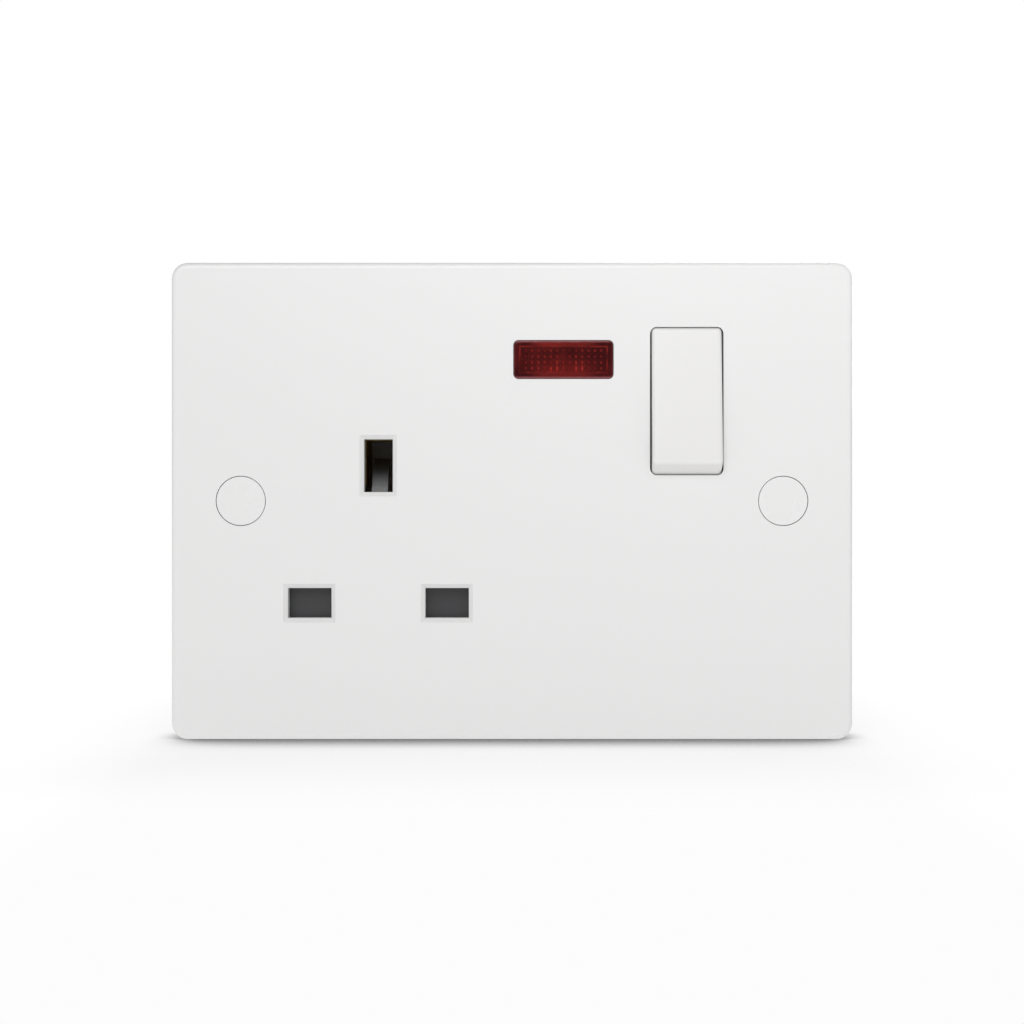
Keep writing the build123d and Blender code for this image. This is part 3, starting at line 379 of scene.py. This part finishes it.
def moulded_plastic(name, colour, tone_change, gloss, gloss_change, peel_scale, bump):
    """Moulded plastic in one colour."""
    return surface_material(
        name,
        MOULDED,
        {
            "Colour": (*colour, 1),
            "Tone Change": tone_change,
            "Gloss": gloss,
            "Gloss Change": gloss_change,
            "Peel Scale": peel_scale,
        },
        bump_strength=bump,
        bump_depth=0.02 * MM,
        shader_values={"IOR": 1.5},
    )


def worked_metal(name, bright, dull, dull_share, polish, stretch, bump):
    """Rolled, drawn or plated metal."""
    return surface_material(
        name,
        METAL,
        {
            "Bright": (*bright, 1),
            "Dull": (*dull, 1),
            "Dull Share": dull_share,
            "Polish": polish,
            "Streak Stretch": stretch,
        },
        bump_strength=bump,
        bump_depth=0.01 * MM,
        shader_values={"Metallic": 1.0},
    )


def clear_material(name, colour, roughness, ior):
    """Clear glass."""
    material, _, _ = principled_material(
        name,
        {"Roughness": roughness, "IOR": ior, "Transmission Weight": 1.0},
        MOULDED,
        {"Colour": (*colour, 1), "Tone Change": 0.1},
    )
    return material


def shutter_plastic():
    """The shutter's own dark plastic, with painted light on its ramp and painted shade on the web over it.
    """
    return surface_material(
        "shutter grey",
        SHUTTER,
        {
            "Dark": (0.042, 0.042, 0.045, 1),
            "Ramp Light": (0.26, 0.265, 0.265, 1),
            "Ramp Light Start": 1.3 * MM,
            "Ramp Light End": 5.2 * MM,
        },
        bump_strength=0.3,
        bump_depth=0.02 * MM,
        shader_values={"IOR": 1.5},
    )


def lens_plastic():
    """Tinted lens plastic, partly milky so that its thick rim stays red."""
    low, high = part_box("neon_lens")
    middle = (low + high) / 2
    prism_width, prism_columns = 14.2 * MM, 14
    prism_height, prism_rows = 4.1 * MM, 4.3
    material, shader, surface = principled_material(
        "lens red",
        {"IOR": 1.49, "Transmission Weight": 0.72},
        LENS,
        {
            "Deep": (0.135, 0.003, 0.005, 1),
            "Bright": (1.0, 0.075, 0.055, 1),
            "Rim": (0.62, 0.15, 0.17, 1),
            "Middle X": middle.x,
            "Middle Z": middle.z,
            "Half Width": 8.1 * MM,
            "Half Height": 3.15 * MM,
            "Rim Width": 0.3 * MM,
            "Box Inset": 1.05 * MM,
            "Column Pitch": prism_width / prism_columns,
            "Row Pitch": prism_height / prism_rows,
        },
    )
    material.node_tree.links.new(surface.outputs["Roughness"], shader.inputs["Roughness"])
    return material


# Finishes, one for each slot of the record. A plastic has its colour, tone change, gloss, gloss
# change, peel scale and bump, and a metal its bright and dull colours, the share of dull, its polish,
# the stretch of its streaks and its bump
WHITE = (0.800, 0.800, 0.797)
# The rocker's white is a little warmer than the plate's and a little darker, painted shade that offsets
# the extra light its tilted face catches
WARM_SHADED_WHITE = (0.785, 0.781, 0.774)
finishes = {
    "plate_white": moulded_plastic("plate white", WHITE, 0.012, 0.22, 0.06, 1500.0, 0.08),
    "cap_white": moulded_plastic("cap white", WHITE, 0.012, 0.24, 0.06, 1500.0, 0.08),
    "rocker_white": moulded_plastic("rocker white", WARM_SHADED_WHITE, 0.012, 0.2, 0.05, 1500.0, 0.08),
    "moulding_white": moulded_plastic("rear moulding", (0.62, 0.62, 0.60), 0.05, 0.42, 0.1, 1200.0, 0.25),
    "shutter_grey": shutter_plastic(),
    "plunger_nylon": moulded_plastic("plunger nylon", (0.72, 0.70, 0.62), 0.05, 0.4, 0.1, 1800.0, 0.2),
    "washer_fibre": moulded_plastic("red fibre", (0.32, 0.05, 0.03), 0.4, 0.7, 0.15, 2600.0, 0.6),
    "resistor_coat": moulded_plastic("resistor lacquer", (0.45, 0.30, 0.16), 0.1, 0.3, 0.1, 1500.0, 0.2),
    "lead_sleeve": moulded_plastic("lead sleeve", (0.62, 0.62, 0.60), 0.06, 0.5, 0.1, 1500.0, 0.2),
    "brass": worked_metal(
        "rolled brass", (0.80, 0.58, 0.27), (0.42, 0.27, 0.10), 0.55, 0.2, (1.0, 1.0, 14.0), 0.3
    ),
    "contact_silver": worked_metal(
        "contact silver", (0.86, 0.85, 0.82), (0.55, 0.53, 0.50), 0.4, 0.16, (1.0, 1.0, 1.0), 0.2
    ),
    "plated_steel": worked_metal(
        "zinc plate", (0.72, 0.72, 0.70), (0.48, 0.47, 0.43), 0.5, 0.22, (3.0, 1.0, 3.0), 0.3
    ),
    "spring_steel": worked_metal(
        "spring wire", (0.60, 0.60, 0.60), (0.36, 0.36, 0.36), 0.4, 0.2, (1.0, 1.0, 1.0), 0.2
    ),
    "lens_red": lens_plastic(),
    "lamp_glass": clear_material("lamp glass", (0.93, 0.93, 0.92), 0.02, 1.5),
}
slot_of = {part["node"]: part["material_slot"] for part in frame["record"]["subparts"]}
for node_name, cad_node in nodes.items():
    cad_node.data.materials.clear()
    cad_node.data.materials.append(finishes[slot_of[node_name]])


def mesh_piece(name, points, faces, material, body):
    """A new smooth piece from points in metres, riding on a CAD body."""
    mesh = bpy.data.meshes.new(name)
    mesh.from_pydata([tuple(point) for point in points], [], faces)
    mesh.update()
    mesh.polygons.foreach_set("use_smooth", [True] * len(mesh.polygons))
    piece = bpy.data.objects.new(name, mesh)
    bpy.context.scene.collection.objects.link(piece)
    mesh.materials.append(material)
    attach(piece, body)
    return piece


def tube_along(path, radius, sides):
    """Points and faces of a closed round tube along a path that never doubles straight back."""
    points = []
    faces = []
    side_way = None
    for index, centre in enumerate(path):
        before = path[max(index - 1, 0)]
        after = path[min(index + 1, len(path) - 1)]
        forward = (after - before).normalized()
        if side_way is None:
            side_way = forward.orthogonal()
        side_way = (side_way - forward * side_way.dot(forward)).normalized()
        other_way = forward.cross(side_way)
        for step in range(sides):
            angle = 2 * math.pi * step / sides
            points.append(centre + (side_way * math.cos(angle) + other_way * math.sin(angle)) * radius)
    for ring in range(len(path) - 1):
        for step in range(sides):
            following = (step + 1) % sides
            faces.append(
                (
                    ring * sides + step,
                    ring * sides + following,
                    (ring + 1) * sides + following,
                    (ring + 1) * sides + step,
                )
            )
    faces.append(tuple(reversed(range(sides))))
    faces.append(tuple((len(path) - 1) * sides + step for step in range(sides)))
    return points, faces


def spring_path(start, way, length, coil_radius, wire, active_turns, steps_per_turn):
    """Centre line of a compression spring whose first and last turns are closed."""
    closed_turns = 1.0
    turns = active_turns + 2 * closed_turns
    side_way = way.orthogonal().normalized()
    other_way = way.cross(side_way)
    open_length = length - wire - 2 * closed_turns * wire
    path = []
    count = int(turns * steps_per_turn)
    for step in range(count + 1):
        turn = turns * step / count
        if turn < closed_turns:
            climb = turn * wire
        elif turn > turns - closed_turns:
            climb = length - wire - (turns - turn) * wire
        else:
            climb = closed_turns * wire + open_length * (turn - closed_turns) / active_turns
        angle = 2 * math.pi * turn
        round_way = side_way * math.cos(angle) + other_way * math.sin(angle)
        path.append(start + way * (wire / 2 + climb) + round_way * coil_radius)
    return path


def box_middle(node):
    """The middle of a CAD node's box."""
    low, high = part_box(node)
    return (low + high) / 2


def wire_spring(name, body, start, way, length, coil_width, wire, active_turns, steps_per_turn):
    """A coiled wire from start to start + length along way, with the coil's outer width given."""
    wire_sides = 10
    coil_radius = (coil_width - wire) / 2
    path = spring_path(start, way, length, coil_radius, wire, active_turns, steps_per_turn)
    points, faces = tube_along(path, wire / 2, wire_sides)
    return mesh_piece(name, points, faces, finishes["spring_steel"], body)


# Springs with closed end turns
def make_springs():
    low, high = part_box("shutter_spring")
    middle = box_middle("shutter_spring")
    length = high.z - low.z
    width = high.x - low.x
    start = Vector((middle.x, middle.y, low.z))
    up = Vector((0, 0, 1))
    wire = 0.35 * MM
    spring = wire_spring(
        "shutter_spring_wire", "housing", start, up, length, width, wire, active_turns=6, steps_per_turn=40
    )
    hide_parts("shutter_spring")
    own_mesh(spring)

    # The plunger spring lies along the leaning rocker's own axis
    rocker_lean = math.radians(6)
    out_way = Vector((0, -math.cos(rocker_lean), math.sin(rocker_lean)))
    along = [vertex.co.dot(out_way) for vertex in nodes["rocker_spring"].data.vertices]
    near, far = min(along), max(along)
    middle = box_middle("rocker_spring")
    start = middle + out_way * (near - middle.dot(out_way))
    low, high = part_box("rocker_spring")
    length = far - near
    width = high.x - low.x
    wire = 0.3 * MM
    spring = wire_spring(
        "rocker_spring_wire",
        "rocker_body",
        start,
        out_way,
        length,
        width,
        wire,
        active_turns=4,
        steps_per_turn=36,
    )
    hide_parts("rocker_spring")
    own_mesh(spring)


# Fixing screws: the solid's head and shank, and a cut thread in place of its plain end
def make_threaded_screws():
    pitch = 0.6 * MM
    major = 1.75 * MM
    thread_depth = 0.34 * MM
    point_depth = 0.5 * MM
    crest_share = 0.12
    flank_share = 1 - 2 * crest_share
    sides = 32
    rows_per_pitch = 6
    # The depth at which the shank's cone ends and the thread begins
    thread_start = -0.5 * MM
    slack = 0.1 * MM
    for side in ("left", "right"):
        node = side + "_fixing_screw"
        middle = box_middle(node)
        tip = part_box(node)[1].y
        shape = bmesh.new()
        shape.from_mesh(nodes[node].data)
        plain_end = [
            face
            for face in shape.faces
            if min(vert.co.y for vert in face.verts) > thread_start - slack
            and max(vert.co.y for vert in face.verts) > thread_start + slack
        ]
        bmesh.ops.delete(shape, geom=plain_end, context="FACES")
        rows = int(tip / pitch * rows_per_pitch)
        grid = []
        for row in range(rows + 1):
            along = thread_start + (tip - thread_start) * row / rows
            ring = []
            for step in range(sides):
                turn = step / sides
                phase = (along / pitch - turn) % 1.0
                cut = 1 - abs(2 * phase - 1)
                cut = min(max((cut - crest_share) / flank_share, 0), 1)
                radius = min(major - thread_depth * cut, major - point_depth + tip - along)
                angle = 2 * math.pi * turn
                across = middle.x + radius * math.cos(angle)
                height = middle.z + radius * math.sin(angle)
                ring.append(shape.verts.new((across, along, height)))
            grid.append(ring)
        for lower, upper in zip(grid, grid[1:]):
            for step in range(sides):
                following = (step + 1) % sides
                shape.faces.new((lower[step], lower[following], upper[following], upper[step]))
        shape.faces.new(grid[-1])
        shape.faces.new(list(reversed(grid[0])))
        bmesh.ops.recalc_face_normals(shape, faces=list(shape.faces))
        mesh = bpy.data.meshes.new(node + "_threaded")
        shape.to_mesh(mesh)
        shape.free()
        mesh.materials.clear()
        mesh.materials.append(finishes["plated_steel"])
        screw = bpy.data.objects.new(node + "_threaded", mesh)
        bpy.context.scene.collection.objects.link(screw)
        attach(screw, "housing")
        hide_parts(node)


# Neon lamp: two rod electrodes held in a bead of glass
def make_lamp_inside():
    low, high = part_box("neon_lamp")
    middle = (low + high) / 2
    half_spacing = 0.75 * MM
    rod_radius = 0.34 * MM
    rod_sides = 14
    stations = (low.x + 1.6 * MM, low.x + 3.0 * MM, middle.x, high.x - 2.6 * MM)
    silver = finishes["contact_silver"]
    for name, side in (("upper", 1), ("lower", -1)):
        path = [Vector((x, middle.y, middle.z + side * half_spacing)) for x in stations]
        points, faces = tube_along(path, rod_radius, rod_sides)
        mesh_piece(name + "_electrode", points, faces, silver, "housing")


make_springs()
make_threaded_screws()
make_lamp_inside()


# Camera, square on to the plate as in the photograph
def place_camera():
    camera_data = bpy.data.cameras.new("camera")
    camera = bpy.data.objects.new("camera", camera_data)
    bpy.context.scene.collection.objects.link(camera)
    distance = 300 * MM
    width_seen = PHOTO_PIXELS / PIXELS_PER_MM * MM
    camera_data.sensor_width = 36.0
    camera_data.lens = camera_data.sensor_width * distance / width_seen
    camera_data.clip_start = 5 * MM
    camera_data.clip_end = 20000 * MM
    height = (PLATE_MIDDLE_ROW - PHOTO_PIXELS / 2) / PIXELS_PER_MM * MM
    camera.location = (0, FACE_Y - distance, height)
    camera.rotation_euler = (math.radians(90), 0, 0)
    bpy.context.scene.camera = camera


# Floor, pure white away from the object, and keeping its shadow near it
def make_floor():
    reach = 4000 * MM
    least_glow = 0.60
    mesh = bpy.data.meshes.new("floor")
    mesh.from_pydata(
        [(-reach, -reach, 0), (reach, -reach, 0), (reach, reach, 0), (-reach, reach, 0)],
        [],
        [(0, 1, 2, 3)],
    )
    floor = bpy.data.objects.new("floor", mesh)
    floor.location = (0, 0, FLOOR_Z)
    bpy.context.scene.collection.objects.link(floor)
    material = bpy.data.materials.new("floor white")
    material.use_nodes = True
    tree = material.node_tree
    tree.nodes.clear()
    out = add_node(tree, "ShaderNodeOutputMaterial")
    matte = add_node(tree, "ShaderNodeBsdfDiffuse")
    glow = add_node(tree, "ShaderNodeEmission", Strength=1.0)
    x, y, _ = position_parts(tree)
    across = math_node(tree, "ABSOLUTE", x)
    ahead = step_node(tree, math_node(tree, "ABSOLUTE", y), 5 * MM, 80 * MM, least_glow, 1.0)
    outward = step_node(tree, across, 32 * MM, 76 * MM, least_glow, 1.0)
    # How much of the sky the card sees, turned into the photograph's short contact shadow
    closeness = add_node(tree, "ShaderNodeAmbientOcclusion", Distance=18 * MM)
    closeness.samples = 12
    contact = add_node(tree, "ShaderNodeValToRGB")
    levels = contact.color_ramp
    shades = ((0.50, 0.18), (0.57, 0.31), (0.70, 0.58), (0.82, 0.86), (0.93, 0.98))
    while len(levels.elements) < len(shades):
        levels.elements.new(0.5)
    for level, (at, shade) in zip(levels.elements, shades):
        level.position = at
        level.color = (shade, shade, shade, 1)
    tree.links.new(closeness.outputs["AO"], contact.inputs["Fac"])
    beside = step_node(tree, across, 50 * MM, 60 * MM)
    card = colour_mix(tree, beside, contact.outputs["Color"], (1, 1, 1, 1))
    # Only the camera sees the contact shadow, so that the plate keeps the card's bounced light
    path = add_node(tree, "ShaderNodeLightPath")
    seen = colour_mix(tree, path.outputs["Is Camera Ray"], (1, 1, 1, 1), card)
    tree.links.new(seen, matte.inputs["Color"])
    tree.links.new(seen, glow.inputs["Color"])
    blend = add_node(tree, "ShaderNodeMixShader")
    tree.links.new(math_node(tree, "SMOOTH_MAX", ahead, outward, 0.2), blend.inputs["Fac"])
    tree.links.new(matte.outputs[0], blend.inputs[1])
    tree.links.new(glow.outputs[0], blend.inputs[2])
    tree.links.new(blend.outputs[0], out.inputs["Surface"])
    mesh.materials.append(material)


# Light: a pale room, dimmer behind the plate and right behind the camera, and soft panels
def make_light():
    front_level, back_level = 0.497, 0.29
    camera_side_share = 0.30
    world = bpy.data.worlds.new("studio")
    bpy.context.scene.world = world
    world.use_nodes = True
    tree = world.node_tree
    tree.nodes.clear()
    out = add_node(tree, "ShaderNodeOutputWorld")
    room = add_node(tree, "ShaderNodeBackground", Color=(1, 1, 1, 1))
    backdrop = add_node(tree, "ShaderNodeBackground", Color=(1, 1, 1, 1), Strength=1.0)
    way = add_node(tree, "ShaderNodeTexCoord")
    toward = add_node(tree, "ShaderNodeSeparateXYZ")
    tree.links.new(way.outputs["Generated"], toward.inputs[0])
    behind = toward.outputs["Y"]
    room_level = step_node(tree, behind, -0.15, 0.35, front_level, back_level)
    camera_side = step_node(tree, behind, -0.985, -0.90, camera_side_share, 1.0)
    tree.links.new(math_node(tree, "MULTIPLY", room_level, camera_side), room.inputs["Strength"])
    path = add_node(tree, "ShaderNodeLightPath")
    blend = add_node(tree, "ShaderNodeMixShader")
    tree.links.new(path.outputs["Is Camera Ray"], blend.inputs["Fac"])
    tree.links.new(room.outputs[0], blend.inputs[1])
    tree.links.new(backdrop.outputs[0], blend.inputs[2])
    tree.links.new(blend.outputs[0], out.inputs["Surface"])
    # Name, place, aim, width and depth in metres, and power in watts
    panels = [
        ("top panel", (0.045, -0.10, 0.088), (0.025, 0.0, 0.02), 0.13, 0.03, 0.028),
        ("front panel", (-0.2, -0.8, 0.5), (0, 0, 0), 0.6, 0.6, 2.7),
        ("back panel", (0.35, 0.9, 0.35), (0, 0, 0), 0.6, 0.6, 3.4),
    ]
    for name, spot, aim, width, depth, power in panels:
        data = bpy.data.lights.new(name, "AREA")
        data.shape = "RECTANGLE"
        data.size = width
        data.size_y = depth
        data.energy = power
        panel = bpy.data.objects.new(name, data)
        panel.location = spot
        panel.visible_camera = False
        # The top panel is so near that the plate's glossy edge would mirror it as pure white
        panel.visible_glossy = name != "top panel"
        panel.rotation_euler = (Vector(spot) - Vector(aim)).to_track_quat("Z", "Y").to_euler()
        bpy.context.scene.collection.objects.link(panel)


place_camera()
make_floor()
make_light()

view_settings = bpy.context.scene.view_settings
view_settings.view_transform = "Standard"
